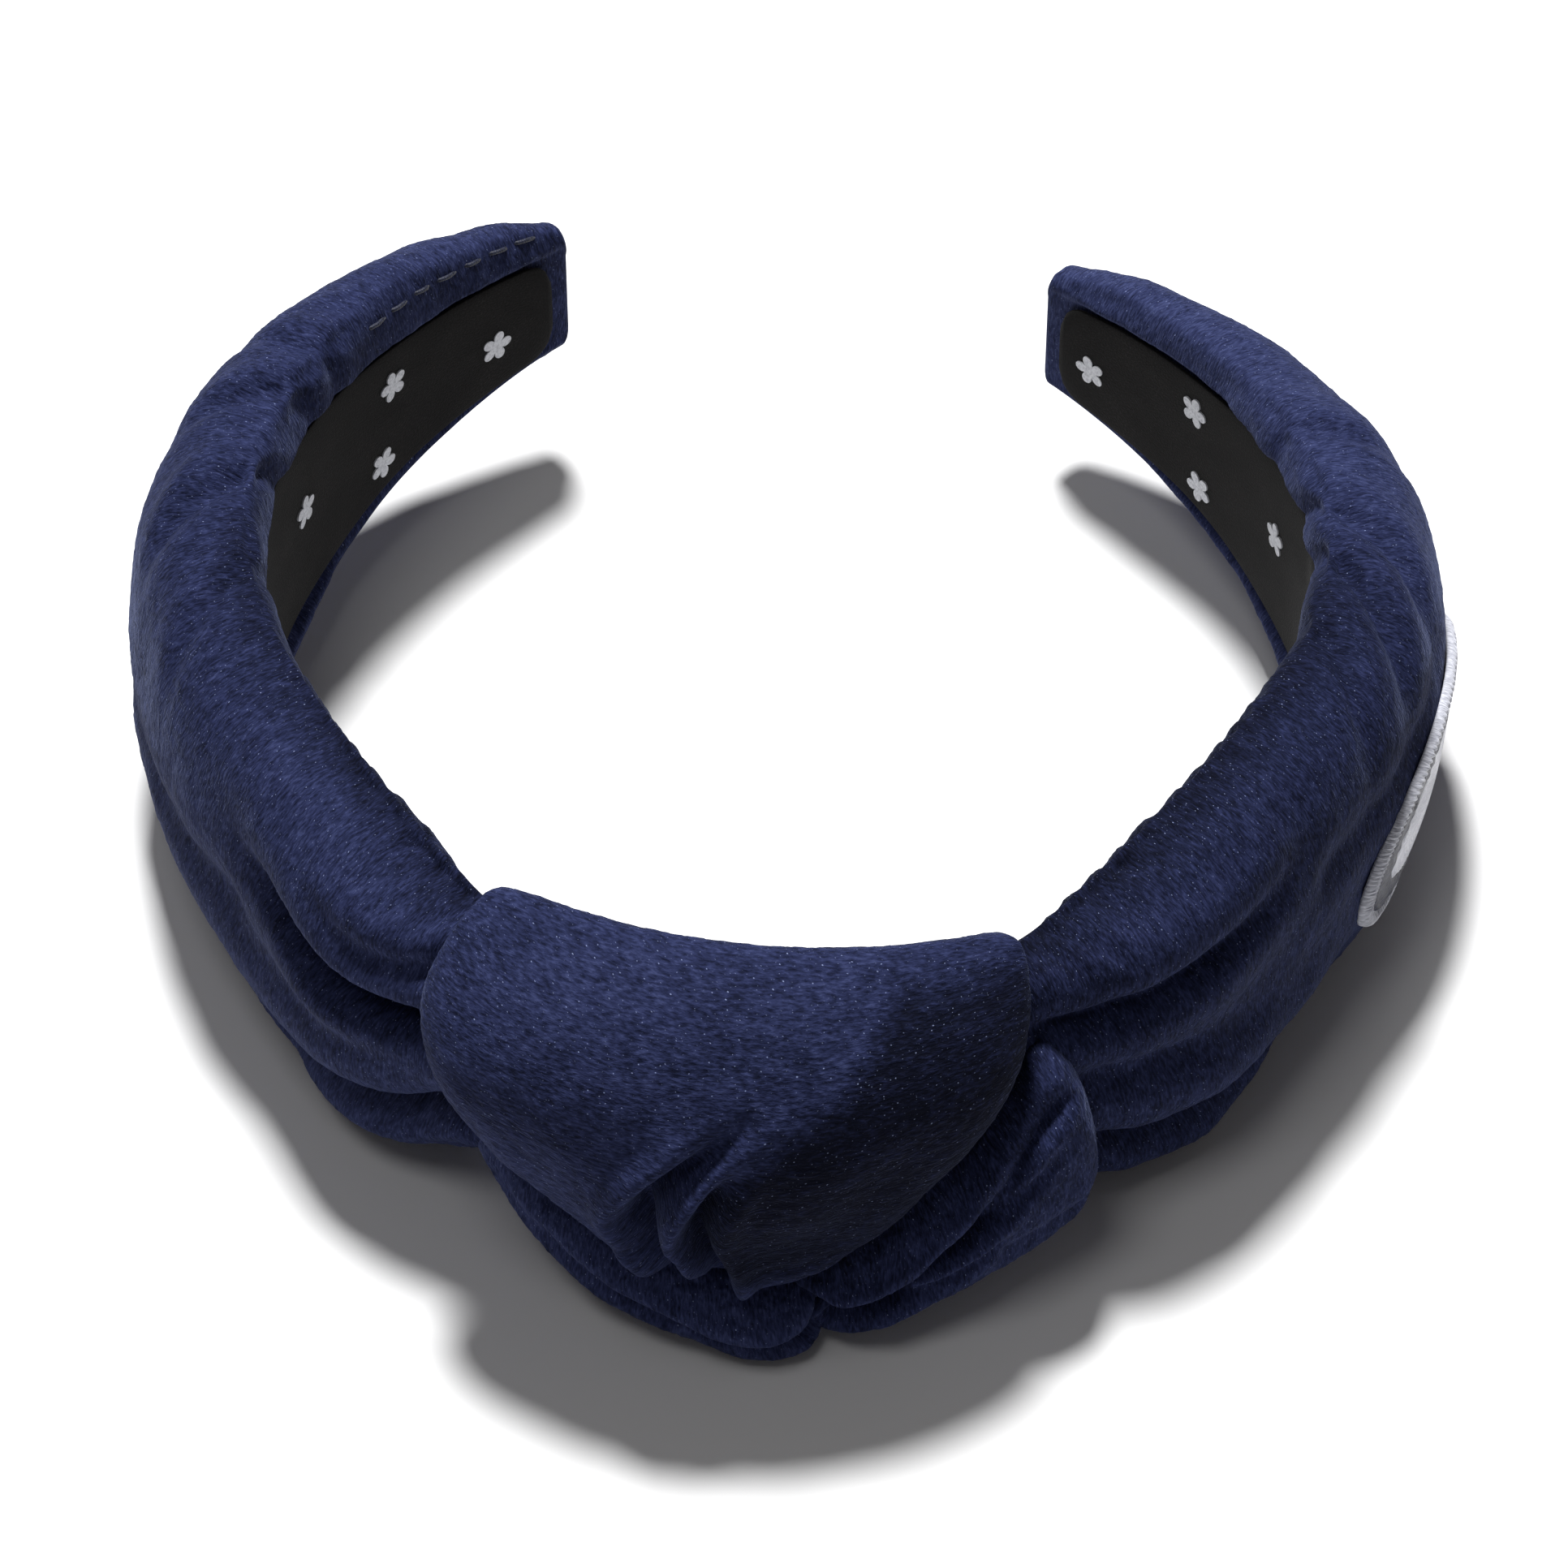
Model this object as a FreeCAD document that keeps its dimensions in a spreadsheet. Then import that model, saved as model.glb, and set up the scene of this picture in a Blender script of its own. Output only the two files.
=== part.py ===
import FreeCAD, Part
import math
import os
import Sketcher
from FreeCAD import Placement, Rotation, Vector

# Padded knotted headband.
# The hoop lies on its lower edge: +Z runs along the band's width, the knot faces -Y and the
# open ends point to +Y. The origin is under the middle of the knot, on the plane it rests on.
# A place on the hoop is (run, out, z): run along the core's middle from the crown, out from
# the core's middle away from the head, z above the rest plane. side is +1 right, -1 left.

os.makedirs("parts", exist_ok=True)
doc = FreeCAD.newDocument("knotted_headband")

# ---------------------------------------------------------------- driving dimensions (mm, deg)
DIMENSIONS = [
    ("crown_radius", 56.7), ("crown_run", 48.2),
    ("shoulder_radius", 164.9), ("shoulder_run", 36.7),
    ("side_radius", 48.5), ("side_run", 38.9),
    ("rear_radius", 80.1), ("rear_run", 31.6),
    ("end_radius", 99.6), ("end_run", 25.4),
    ("mid_height", 26.0),
    ("left_rise", 3.0), ("right_rise", -2.0), ("rise_start", 100.0),
    ("flex_run", 36.0), ("flex_gap", 0.06), ("open_angle", 11.5),
    ("core_half", 1.0), ("core_half_height", 18.0), ("core_tip_half_height", 9.5),
    ("taper_start", 96.0), ("tip_margin", 1.5), ("core_corner", 4.0),
    ("lining_thick", 1.35), ("lining_half_height", 15.0), ("lining_tip_half_height", 7.6),
    ("lining_corner", 3.0), ("seat_gap", 0.05),
    ("fabric_thick", 1.2), ("wrap_thick", 3.0),
    ("patch_run", 98.0), ("patch_height", 20.0), ("patch_long", 20.0), ("patch_short", 12.5),
    ("patch_base", 0.8), ("border_width", 2.2), ("border_proud", 0.8),
    ("band_width", 5.0), ("band_proud", 0.6), ("centre_proud", 0.4),
    ("print_radius", 2.4), ("print_thick", 0.12),
    ("stitch_length", 3.0), ("stitch_radius", 0.35), ("stitch_pitch", 5.0),
]

# Sections of the padded sleeve on one arm: run, outward bulge, height above and below the middle.
SLEEVE = [
    (36.2, 9.5, 20.5, 22.0), (50.0, 12.0, 22.5, 25.5), (68.0, 13.5, 24.0, 26.8),
    (90.0, 14.0, 24.0, 26.8), (110.0, 13.0, 23.0, 25.0), (130.0, 10.5, 20.0, 20.5),
    (150.0, 8.0, 16.5, 16.0), (167.0, 6.2, 13.0, 12.2), (181.0, 4.2, 11.0, 9.8),
]
# Sections of the knot, over the crown from left to right: run, bulge, above, below. The end
# sections lean back by open_angle, to leave room for an arm that opens.
KNOT = [
    (-35.2, 13.0, 23.0, 25.0), (-24.0, 19.0, 26.0, 27.4), (0.0, 23.0, 28.0, 27.6),
    (24.0, 19.0, 26.0, 27.4), (35.2, 13.0, 23.0, 25.0),
]

sheet = doc.addObject("Spreadsheet::Sheet", "Dims")
for row, (alias, value) in enumerate(DIMENSIONS, start=1):
    sheet.set("A%d" % row, alias)
    sheet.set("B%d" % row, str(value))
    sheet.setAlias("B%d" % row, alias)
doc.recompute()

D = {alias: float(sheet.get(alias)) for alias, _ in DIMENSIONS}
ARCS = ["crown", "shoulder", "side", "rear", "end"]
HALF_RUN = sum(D[arc + "_run"] for arc in ARCS)
TALL = 120.0            # height of tools that pass right through


# ---------------------------------------------------------------- the hoop's plan curve
def plan_arcs():
    """The right half's tangent arcs: name, first run, last run, centre, radius, heading."""
    arcs = []
    place = Vector(0, 0, 0)
    heading = 0.0
    run = 0.0
    for name in ARCS:
        radius = D[name + "_radius"]
        length = D[name + "_run"]
        centre = place + Vector(-math.sin(heading), math.cos(heading), 0) * radius
        arcs.append((name, run, run + length, centre, radius, heading))
        heading += length / radius
        run += length
        place = centre + Vector(math.sin(heading), -math.cos(heading), 0) * radius
    return arcs


PLAN = plan_arcs()


def frame_at(run, side=1):
    """Place, along and outward directions of the hoop's middle; a negative run is the left."""
    if run < 0:
        side = -1
    distance = abs(run)
    for _, first, last, centre, radius, heading in PLAN:
        if distance <= last:
            break
    turn = heading + (distance - first) / radius
    outward = Vector(math.sin(turn), -math.cos(turn), 0)
    along = Vector(math.cos(turn), math.sin(turn), 0)
    place = centre + outward * radius
    flip = Vector(side, 1, 1)
    return [Vector(v.x * flip.x, v.y, v.z) for v in (place, along, outward)]


def rise_at(run, side):
    """How far the arm's middle has risen at this run; the two arms are not quite level."""
    total = D["left_rise"] if side < 0 else D["right_rise"]
    share = (abs(run) - D["rise_start"]) / (HALF_RUN - D["rise_start"])
    return total * max(0.0, share)


def facing_out(place, outward):
    """Placement whose local X is up and local Y points outwards."""
    up = Vector(0, 0, 1)
    return Placement(place, Rotation(up, outward, up.cross(outward), "XYZ"))


# ---------------------------------------------------------------- sketch and body helpers
def plane_of(body, role):
    return next(f for f in body.Origin.OriginFeatures if f.Role == role)


def new_sketch(body, name, role):
    sketch = body.newObject("Sketcher::SketchObject", name)
    sketch.AttachmentSupport = [(plane_of(body, role), "")]
    sketch.MapMode = "FlatFace"
    return sketch


def add_arc(sketch, centre, radius, start, end):
    """An arc between two points, anticlockwise; returns its index and which end is start."""
    first = math.atan2(start.y - centre.y, start.x - centre.x)
    last = math.atan2(end.y - centre.y, end.x - centre.x)
    circle = Part.Circle(centre, Vector(0, 0, 1), radius)
    if (last - first) % (2 * math.pi) > math.pi:
        return sketch.addGeometry(Part.ArcOfCircle(circle, last, first), False), 2, 1
    return sketch.addGeometry(Part.ArcOfCircle(circle, first, last), False), 1, 2


def join(sketch, one, one_end, two, two_end):
    sketch.addConstraint(Sketcher.Constraint("Coincident", one, one_end, two, two_end))


def bind_radius(sketch, arc, formula):
    """Give an arc a radius that follows the spreadsheet."""
    radius = sketch.Geometry[arc].Radius
    index = sketch.addConstraint(Sketcher.Constraint("Radius", arc, radius))
    sketch.setExpression("Constraints[%d]" % index, formula)


def side_point(run, out, side):
    place, _, outward = frame_at(run, side)
    return place + outward * out


def strip_edge(sketch, first, last, out, formula, side):
    """Arcs along the hoop at one offset: a list of (index, near end, far end, arc name)."""
    edge = []
    for name, start, end, centre, radius, _ in PLAN:
        low = max(first, start)
        high = min(last, end)
        if high - low < 0.01:
            continue
        middle = Vector(centre.x * side, centre.y, 0)
        near = side_point(low + 1e-9, out, side)
        far = side_point(high - 1e-9, out, side)
        arc, near_end, far_end = add_arc(sketch, middle, radius + out, near, far)
        if edge:
            join(sketch, edge[-1][0], edge[-1][2], arc, near_end)
        edge.append((arc, near_end, far_end, name))
    for arc, _, _, name in edge:
        bind_radius(sketch, arc, "Dims.%s_radius + %s" % (name, formula))
    return edge


def strip(name, side, first, last, inner, outer, half_height, knuckle=False):
    """A band of even thickness that follows one half of the hoop, centred on mid_height.

    inner and outer are formulas on the spreadsheet for the offsets of its two faces.
    With a knuckle, the near end is a half round about the flexing axis.
    """
    body = doc.addObject("PartDesign::Body", name)
    plan = new_sketch(body, name + "_plan", "XY_Plane")
    plan.setExpression("AttachmentOffset.Base.z", "Dims.mid_height")
    low = value_of(inner)
    high = value_of(outer)
    inside = strip_edge(plan, first, last, low, "(%s)" % inner, side)
    outside = strip_edge(plan, first, last, high, "(%s)" % outer, side)
    far = plan.addGeometry(
        Part.LineSegment(side_point(last, low, side), side_point(last, high, side)), False)
    join(plan, inside[-1][0], inside[-1][2], far, 1)
    join(plan, outside[-1][0], outside[-1][2], far, 2)
    if knuckle:
        place, _, outward = frame_at(first, side)
        ends = (1, 2) if side > 0 else (2, 1)
        begin = outward * -side
        angle = math.atan2(begin.y, begin.x)
        circle = Part.Circle(place, Vector(0, 0, 1), D["core_half"])
        near = plan.addGeometry(Part.ArcOfCircle(circle, angle, angle + math.pi), False)
        join(plan, inside[0][0], inside[0][1], near, ends[0])
        join(plan, outside[0][0], outside[0][1], near, ends[1])
    else:
        near = plan.addGeometry(
            Part.LineSegment(side_point(first, low, side), side_point(first, high, side)), False)
        join(plan, inside[0][0], inside[0][1], near, 1)
        join(plan, outside[0][0], outside[0][1], near, 2)
    pad = body.newObject("PartDesign::Pad", name + "_pad")
    pad.Profile = plan
    pad.Midplane = True
    pad.setExpression("Length", "2 * (%s)" % half_height)
    body.Tip = pad
    doc.recompute()
    return body


def value_of(formula):
    """The number a spreadsheet formula stands for."""
    return float(sheet.evalExpression(formula))


def taper(body, side, half_height, tip_half_height, last, corner):
    """Cut the band's edges down towards the arm's tip, seen from the side, and its corners."""
    name = body.Name
    elevation = new_sketch(body, name + "_taper", "YZ_Plane")
    middle = D["mid_height"]
    rise = rise_at(HALF_RUN, side)
    tip = side_point(last, 0, side).y
    for way in (1, -1):
        outline = [
            (D["taper_start"] - 22.0, middle + way * half_height),
            (tip - corner, middle + rise + way * tip_half_height),
            (tip + 1.0, middle + rise + way * (tip_half_height - corner)),
            (tip + 1.0, middle + way * TALL),
            (D["taper_start"] - 22.0, middle + way * TALL),
        ]
        lines = []
        for here, there in zip(outline, outline[1:] + outline[:1]):
            line = Part.LineSegment(Vector(here[0], here[1], 0), Vector(there[0], there[1], 0))
            lines.append(elevation.addGeometry(line, False))
        for one, two in zip(lines, lines[1:] + lines[:1]):
            join(elevation, one, 2, two, 1)
    pocket = body.newObject("PartDesign::Pocket", name + "_taper_cut")
    pocket.Profile = elevation
    pocket.Type = "ThroughAll"
    pocket.Midplane = True
    body.Tip = pocket
    doc.recompute()


def combine(kind, name, base, tool):
    """One of Part's boolean features."""
    result = doc.addObject("Part::" + kind, name)
    result.Base = base
    result.Tool = tool
    doc.recompute()
    return result


def cut_all(name, base, tools):
    """Take the tools out of the base one after the other; the last cut carries the name."""
    for number, tool in enumerate(tools[:-1]):
        base = combine("Cut", "%s_step_%d" % (name, number), base, tool)
    return combine("Cut", name, base, tools[-1])


def fuse(name, shapes):
    result = doc.addObject("Part::MultiFuse", name)
    result.Shapes = shapes
    doc.recompute()
    return result


def loft(name, sections, side, formula="0", end_lean=0.0):
    """A solid through ellipses set across the hoop, each grown by a spreadsheet formula.

    end_lean turns the first and last ellipse back from the arms, about the vertical.
    """
    rings = []
    for number, (run, bulge, above, below) in enumerate(sections):
        place, _, outward = frame_at(run, side)
        here = -1 if run < 0 else side
        if number in (0, len(sections) - 1):
            outward = Rotation(Vector(0, 0, 1), -end_lean * here).multVec(outward)
        middle = D["mid_height"] + rise_at(run, here) + (above - below) / 2.0
        ring = doc.addObject("Part::Ellipse", "%s_ring_%d" % (name, number))
        ring.setExpression("MajorRadius", "%.3f + (%s)" % ((above + below) / 2.0, formula))
        ring.setExpression("MinorRadius", "%.3f + (%s)" % (bulge, formula))
        ring.Placement = facing_out(place + Vector(0, 0, middle), outward)
        rings.append(ring)
    result = doc.addObject("Part::Loft", name)
    result.Sections = rings
    result.Solid = True
    result.Ruled = False
    doc.recompute()
    return result


# ---------------------------------------------------------------- shared tools
floor = doc.addObject("Part::Box", "floor_block")
floor.Length = 400
floor.Width = 400
floor.Height = 40
floor.Placement = Placement(Vector(-200, -150, -40), Rotation())


def two_sided(name, first, inner, outer, half_height):
    """A strip over the crown, from its middle to this run on both sides."""
    halves = [strip("%s_%s" % (name, "rl"[side < 0]), side, 0.0, first, inner, outer,
                    half_height) for side in (1, -1)]
    return fuse(name, halves)


# ---------------------------------------------------------------- crown: core, knot and lining
HINGE_RUN = D["flex_run"]
crown_blank = two_sided("crown_blank", HINGE_RUN, "-Dims.core_half", "Dims.core_half",
                        "Dims.core_half_height")
sockets = []
for side in (1, -1):
    socket = doc.addObject("Part::Cylinder", "flex_socket_%s" % "rl"[side < 0])
    socket.setExpression("Radius", "Dims.core_half + Dims.flex_gap")
    socket.Height = TALL
    place, _, _ = frame_at(HINGE_RUN, side)
    socket.Placement = Placement(place + Vector(0, 0, -40), Rotation())
    sockets.append(socket)
core_crown = combine("Cut", "core_crown", crown_blank, fuse("flex_sockets", sockets))

lining_crown = two_sided("lining_crown", HINGE_RUN - 0.4,
                         "-Dims.core_half - Dims.seat_gap - Dims.lining_thick",
                         "-Dims.core_half - Dims.seat_gap", "Dims.lining_half_height")

knot_space = two_sided("knot_space", HINGE_RUN + 8, "-Dims.core_half - Dims.seat_gap - "
                       "Dims.lining_thick", "45", "60")
knot_outer = loft("knot_outer", KNOT, 1, "0", D["open_angle"])
knot_inner = loft("knot_inner", KNOT, 1, "-Dims.wrap_thick", D["open_angle"])
knot_core = loft("knot_core", KNOT, 1, "-Dims.wrap_thick - Dims.seat_gap", D["open_angle"])


def loop_blank(name, centre, long, deep, high, turn):
    """One plump loop of the knot, before its neighbours are taken out of it."""
    loop = doc.addObject("Part::Ellipsoid", name)
    loop.Radius2 = long
    loop.Radius3 = deep
    loop.Radius1 = high
    loop.Placement = Placement(centre, Rotation(Vector(0, 0, 1), turn))
    return loop


left_blank = loop_blank("left_loop_blank", Vector(-14, -13, 9.5), 22, 10, 10.5, -26)
right_blank = loop_blank("right_loop_blank", Vector(16, -12, 12), 19, 10.5, 12.5, 34)
left_slot = loop_blank("left_loop_slot", Vector(-14, -13, 9.5), 22.05, 10.05, 10.55, -26)
right_slot = loop_blank("right_loop_slot", Vector(16, -12, 12), 19.05, 10.55, 12.55, 34)

wrap_blank = combine("Common", "wrap_blank", knot_outer, knot_space)
knot_front_wrap = cut_all("knot_front_wrap", wrap_blank,
                          [knot_inner, left_slot, right_slot, floor])

core_face = two_sided("core_face", HINGE_RUN + 8, "Dims.core_half + Dims.seat_gap", "45", "60")
filling_blank = combine("Common", "filling_blank", knot_core, core_face)
knot_filling = cut_all("knot_filling", filling_blank, [left_slot, right_slot, floor])

behind_core = two_sided("behind_core", HINGE_RUN + 8, "-45", "Dims.core_half + Dims.seat_gap",
                        "60")
knot_left_loop = cut_all("knot_left_loop", left_blank, [floor, behind_core])
knot_right_loop = cut_all("knot_right_loop", right_blank, [floor, behind_core, left_slot])


# ---------------------------------------------------------------- one arm
def make_arm(side):
    """Core, foam, sleeve and lining of one arm; returns them by node name."""
    word = "left" if side < 0 else "right"
    near = HINGE_RUN
    tip = HALF_RUN - D["tip_margin"]
    core = strip("core_arm_" + word, side, near, tip, "-Dims.core_half", "Dims.core_half",
                 "Dims.core_half_height", knuckle=True)
    taper(core, side, D["core_half_height"], D["core_tip_half_height"], tip, D["core_corner"])

    lining = strip("lining_" + word, side, near + 0.2, tip,
                   "-Dims.core_half - Dims.seat_gap - Dims.lining_thick",
                   "-Dims.core_half - Dims.seat_gap", "Dims.lining_half_height")
    taper(lining, side, D["lining_half_height"], D["lining_tip_half_height"], tip,
          D["lining_corner"])
    window = strip("lining_window_" + word, side, near - 2, tip + D["seat_gap"], "-6",
                   "-Dims.core_half", "Dims.lining_half_height + Dims.seat_gap")
    taper(window, side, D["lining_half_height"] + D["seat_gap"],
          D["lining_tip_half_height"] + D["seat_gap"], tip, D["lining_corner"])

    outer = loft("sleeve_outer_" + word, SLEEVE, side)
    inner = loft("sleeve_inner_" + word, SLEEVE, side, "-Dims.fabric_thick")
    pad = loft("foam_blank_" + word, SLEEVE, side, "-Dims.fabric_thick - Dims.seat_gap")
    head_side = strip("head_side_" + word, side, near - 3, HALF_RUN, "-45",
                      "-Dims.core_half - Dims.seat_gap - Dims.lining_thick", "60")
    hollow = strip("hollow_" + word, side, near - 2, tip, "-Dims.core_half - Dims.seat_gap",
                   "45", "60")
    cavity = combine("Common", "cavity_" + word, inner, hollow)
    cover = cut_all("cover_" + word, outer, [cavity, window, head_side, floor])

    foam_space = strip("foam_space_" + word, side, near - 2, tip, "Dims.core_half + "
                       "Dims.seat_gap", "45", "Dims.mid_height - Dims.fabric_thick")
    foam = combine("Common", "foam_" + word, pad, foam_space)
    return outer, {"core_arm_" + word: core, "foam_" + word: foam, "cover_" + word: cover,
                   "lining_" + word: lining}


right_outer, right_arm = make_arm(1)
left_outer, left_arm = make_arm(-1)


# ---------------------------------------------------------------- trim
def on_lining(run, up, side, proud=0.0):
    """Placement on the lining's face towards the head, local Z pointing to the head."""
    place, _, outward = frame_at(run, side)
    depth = D["core_half"] + D["seat_gap"] + D["lining_thick"] + proud
    spot = place - outward * depth + Vector(0, 0, D["mid_height"] + rise_at(run, side) + up)
    return Placement(spot, Rotation(Vector(0, 0, 1), outward.cross(Vector(0, 0, 1)),
                                    outward * -1, "ZXY"))


def prints(name, side, spots):
    """Small six-sided printed motifs standing a hair proud of the lining."""
    motifs = []
    for number, (run, up) in enumerate(spots):
        motif = doc.addObject("Part::Prism", "%s_%d" % (name, number))
        motif.Polygon = 6
        motif.setExpression("Circumradius", "Dims.print_radius")
        motif.setExpression("Height", "Dims.print_thick")
        motif.Placement = on_lining(run, up, side)
        motifs.append(motif)
    group = doc.addObject("Part::Compound", name)
    group.Links = motifs
    doc.recompute()
    return group


LEFT_PRINTS = [(169, -1.5), (150, 5.5), (147, -6.5), (128, 2.0), (110, -7.0), (104, 8.0)]
RIGHT_PRINTS = [(173, -1.0), (153, 6.0), (151, -6.0), (131, 1.5), (112, 8.0), (106, -7.0)]
lining_print_left = prints("lining_print_left", -1, LEFT_PRINTS)
lining_print_right = prints("lining_print_right", 1, RIGHT_PRINTS)


def lining_edge(run, side):
    """Half height of the lining at this run."""
    start = D["taper_start"] - 22.0
    share = (side_point(run, 0, side).y - start) / (side_point(HALF_RUN, 0, side).y - start)
    full = D["lining_half_height"]
    return full + (D["lining_tip_half_height"] - full) * max(0.0, share)


def hem(name, side, first, count):
    """A row of short stitches on the sleeve's turned edge, above the lining."""
    stitches = []
    for number in range(count):
        run = first + number * D["stitch_pitch"]
        up = lining_edge(run, side) + 1.8
        stitch = doc.addObject("Part::Cylinder", "%s_%d" % (name, number))
        stitch.setExpression("Radius", "Dims.stitch_radius")
        stitch.setExpression("Height", "Dims.stitch_length")
        place, along, outward = frame_at(run, side)
        depth = D["core_half"] + D["seat_gap"] + D["lining_thick"] + D["stitch_radius"]
        spot = place - outward * depth + Vector(0, 0, D["mid_height"] + rise_at(run, side) + up)
        stitch.Placement = Placement(spot, Rotation(Vector(0, 0, 1), along))
        stitches.append(stitch)
    group = doc.addObject("Part::Compound", name)
    group.Links = stitches
    doc.recompute()
    return group


hem_stitches_left = hem("hem_stitches_left", -1, 148.0, 6)


def oval_prism(name, inset):
    """An oval that runs outwards through the right sleeve where the patch is sewn."""
    place, _, outward = frame_at(D["patch_run"], 1)
    oval = doc.addObject("Part::Ellipse", name + "_outline")
    oval.setExpression("MajorRadius", "Dims.patch_long - (%s)" % inset)
    oval.setExpression("MinorRadius", "Dims.patch_short - (%s)" % inset)
    along = Vector(-outward.y, outward.x, 0)
    oval.Placement = Placement(place + Vector(0, 0, D["patch_height"]),
                               Rotation(along, Vector(0, 0, 1), outward, "XYZ"))
    prism = doc.addObject("Part::Extrusion", name)
    prism.Base = oval
    prism.DirMode = "Normal"
    prism.LengthFwd = 40
    prism.Solid = True
    doc.recompute()
    return prism


def patch_skin(name, low, high):
    """The space between two offsets of the right sleeve's surface."""
    return combine("Cut", name, loft(name + "_high", SLEEVE, 1, high),
                   loft(name + "_low", SLEEVE, 1, low))


edge_outline = oval_prism("patch_edge", "0")
band_outline = oval_prism("patch_band_edge", "Dims.border_width")
centre_outline = oval_prism("patch_centre_edge", "Dims.border_width + Dims.band_width")
BASE = "Dims.seat_gap + Dims.patch_base"
patch_backing = combine("Common", "patch_backing",
                        patch_skin("patch_base_skin", "2 * Dims.seat_gap", BASE), edge_outline)
patch_border = combine("Common", "patch_border",
                       patch_skin("patch_border_skin", BASE, BASE + " + Dims.border_proud"),
                       combine("Cut", "border_outline", edge_outline, band_outline))
patch_band = combine("Common", "patch_band",
                     patch_skin("patch_band_skin", BASE, BASE + " + Dims.band_proud"),
                     combine("Cut", "band_ring", band_outline, centre_outline))
patch_centre = combine("Common", "patch_centre",
                       patch_skin("patch_centre_skin", BASE, BASE + " + Dims.centre_proud"),
                       centre_outline)

# ---------------------------------------------------------------- check and export
NODES = {
    "core_crown": core_crown,
    "lining_crown": lining_crown,
    "knot_front_wrap": knot_front_wrap,
    "knot_left_loop": knot_left_loop,
    "knot_right_loop": knot_right_loop,
    "knot_filling": knot_filling,
    "lining_print_left": lining_print_left,
    "lining_print_right": lining_print_right,
    "hem_stitches_left": hem_stitches_left,
    "patch_backing": patch_backing,
    "patch_border": patch_border,
    "patch_band": patch_band,
    "patch_centre": patch_centre,
}
NODES.update(left_arm)
NODES.update(right_arm)

doc.recompute()
for obj in doc.Objects:
    if "Invalid" in obj.State or "Error" in obj.State:
        raise RuntimeError("%s did not recompute: %s" % (obj.Name, obj.State))
for name, node in NODES.items():
    shape = node.Shape
    if shape.isNull() or not shape.isValid() or not shape.Solids:
        raise RuntimeError("%s has no valid solid" % name)
    node.Label = name
    shape.exportStep("parts/%s.step" % name)
    print("%-20s %d solid(s) %9.1f mm3" % (name, len(shape.Solids), shape.Volume))
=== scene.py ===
import math

import bmesh
import bpy
import numpy as np
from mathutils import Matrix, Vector


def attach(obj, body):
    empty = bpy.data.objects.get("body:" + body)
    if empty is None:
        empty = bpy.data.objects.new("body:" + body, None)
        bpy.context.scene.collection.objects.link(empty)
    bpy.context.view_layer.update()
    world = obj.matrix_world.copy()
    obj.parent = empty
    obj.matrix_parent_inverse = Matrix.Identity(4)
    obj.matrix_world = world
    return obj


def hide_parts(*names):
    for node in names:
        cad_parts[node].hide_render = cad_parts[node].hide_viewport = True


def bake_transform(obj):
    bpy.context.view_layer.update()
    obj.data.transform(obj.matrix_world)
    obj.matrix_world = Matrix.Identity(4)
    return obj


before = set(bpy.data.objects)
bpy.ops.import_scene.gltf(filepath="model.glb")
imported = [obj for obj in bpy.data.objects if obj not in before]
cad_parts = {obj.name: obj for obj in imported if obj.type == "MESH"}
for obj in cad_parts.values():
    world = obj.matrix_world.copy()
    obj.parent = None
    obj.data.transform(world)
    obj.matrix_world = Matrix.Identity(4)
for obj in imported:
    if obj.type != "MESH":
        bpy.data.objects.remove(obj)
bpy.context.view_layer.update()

# Padded velvet headband with a front knot. Lengths are in millimetres in this script and are
# turned into metres where a mesh is made. A place on the hoop is (run, out, z) as in the CAD:
# run along the core's middle from the crown, out from the core's middle away from the head.
# side is +1 for the right arm and -1 for the left.
MM = 0.001


# ------------------------------------------------------------------ the hoop's plan curve
# Run and radius of the CAD's five tangent arcs, repeated here. A least-squares fit to the
# object's outline gave these ten values; they were not chosen by hand.
HOOP_ARCS = ((48.2, 56.7), (36.7, 164.9), (38.9, 48.5), (31.6, 80.1), (25.4, 99.6))
HALF_RUN = sum(run for run, _ in HOOP_ARCS)
MID_HEIGHT = 26.0
RISE = {-1: 3.0, 1: -2.0}       # how far each arm's tip stands above or below the middle
RISE_START = 100.0
FLEX_RUN = 36.0
LINING_FACE = 2.4               # the lining's face towards the head, from the core's middle


def hoop(run, side):
    """Places, along and outward directions (x, y) of the hoop's middle, for an array of runs."""
    run = np.asarray(run, float)
    place = np.zeros(run.shape + (2,))
    turn = np.zeros(run.shape)
    start, heading, spot = 0.0, 0.0, np.zeros(2)
    for number, (length, radius) in enumerate(HOOP_ARCS):
        centre = spot + radius * np.array([-math.sin(heading), math.cos(heading)])
        here = run >= start if number else np.ones(run.shape, bool)
        angle = heading + (run - start) / radius
        arc = centre + radius * np.stack([np.sin(angle), -np.cos(angle)], -1)
        place[here] = arc[here]
        turn[here] = angle[here]
        heading += length / radius
        start += length
        spot = centre + radius * np.array([math.sin(heading), -math.cos(heading)])
    flip = np.array([side, 1.0])
    along = np.stack([np.cos(turn), np.sin(turn)], -1)
    outward = np.stack([np.sin(turn), -np.cos(turn)], -1)
    return place * flip, along * flip, outward * flip


def rise(run, side):
    share = (np.asarray(run, float) - RISE_START) / (HALF_RUN - RISE_START)
    return RISE[side] * np.clip(share, 0, None)


def on_hoop(run, out, z, side):
    """Points (x, y, z) for arrays of run, out and height above the hoop's middle."""
    place, _, outward = hoop(run, side)
    flat = place + outward * np.asarray(out, float)[..., None]
    height = MID_HEIGHT + rise(run, side) + np.asarray(z, float)
    return np.concatenate([flat, height[..., None]], -1)


# ------------------------------------------------------------------ small maths helpers
def smooth_step(x):
    x = np.clip(x, 0, 1)
    return x * x * (3 - 2 * x)


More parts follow.
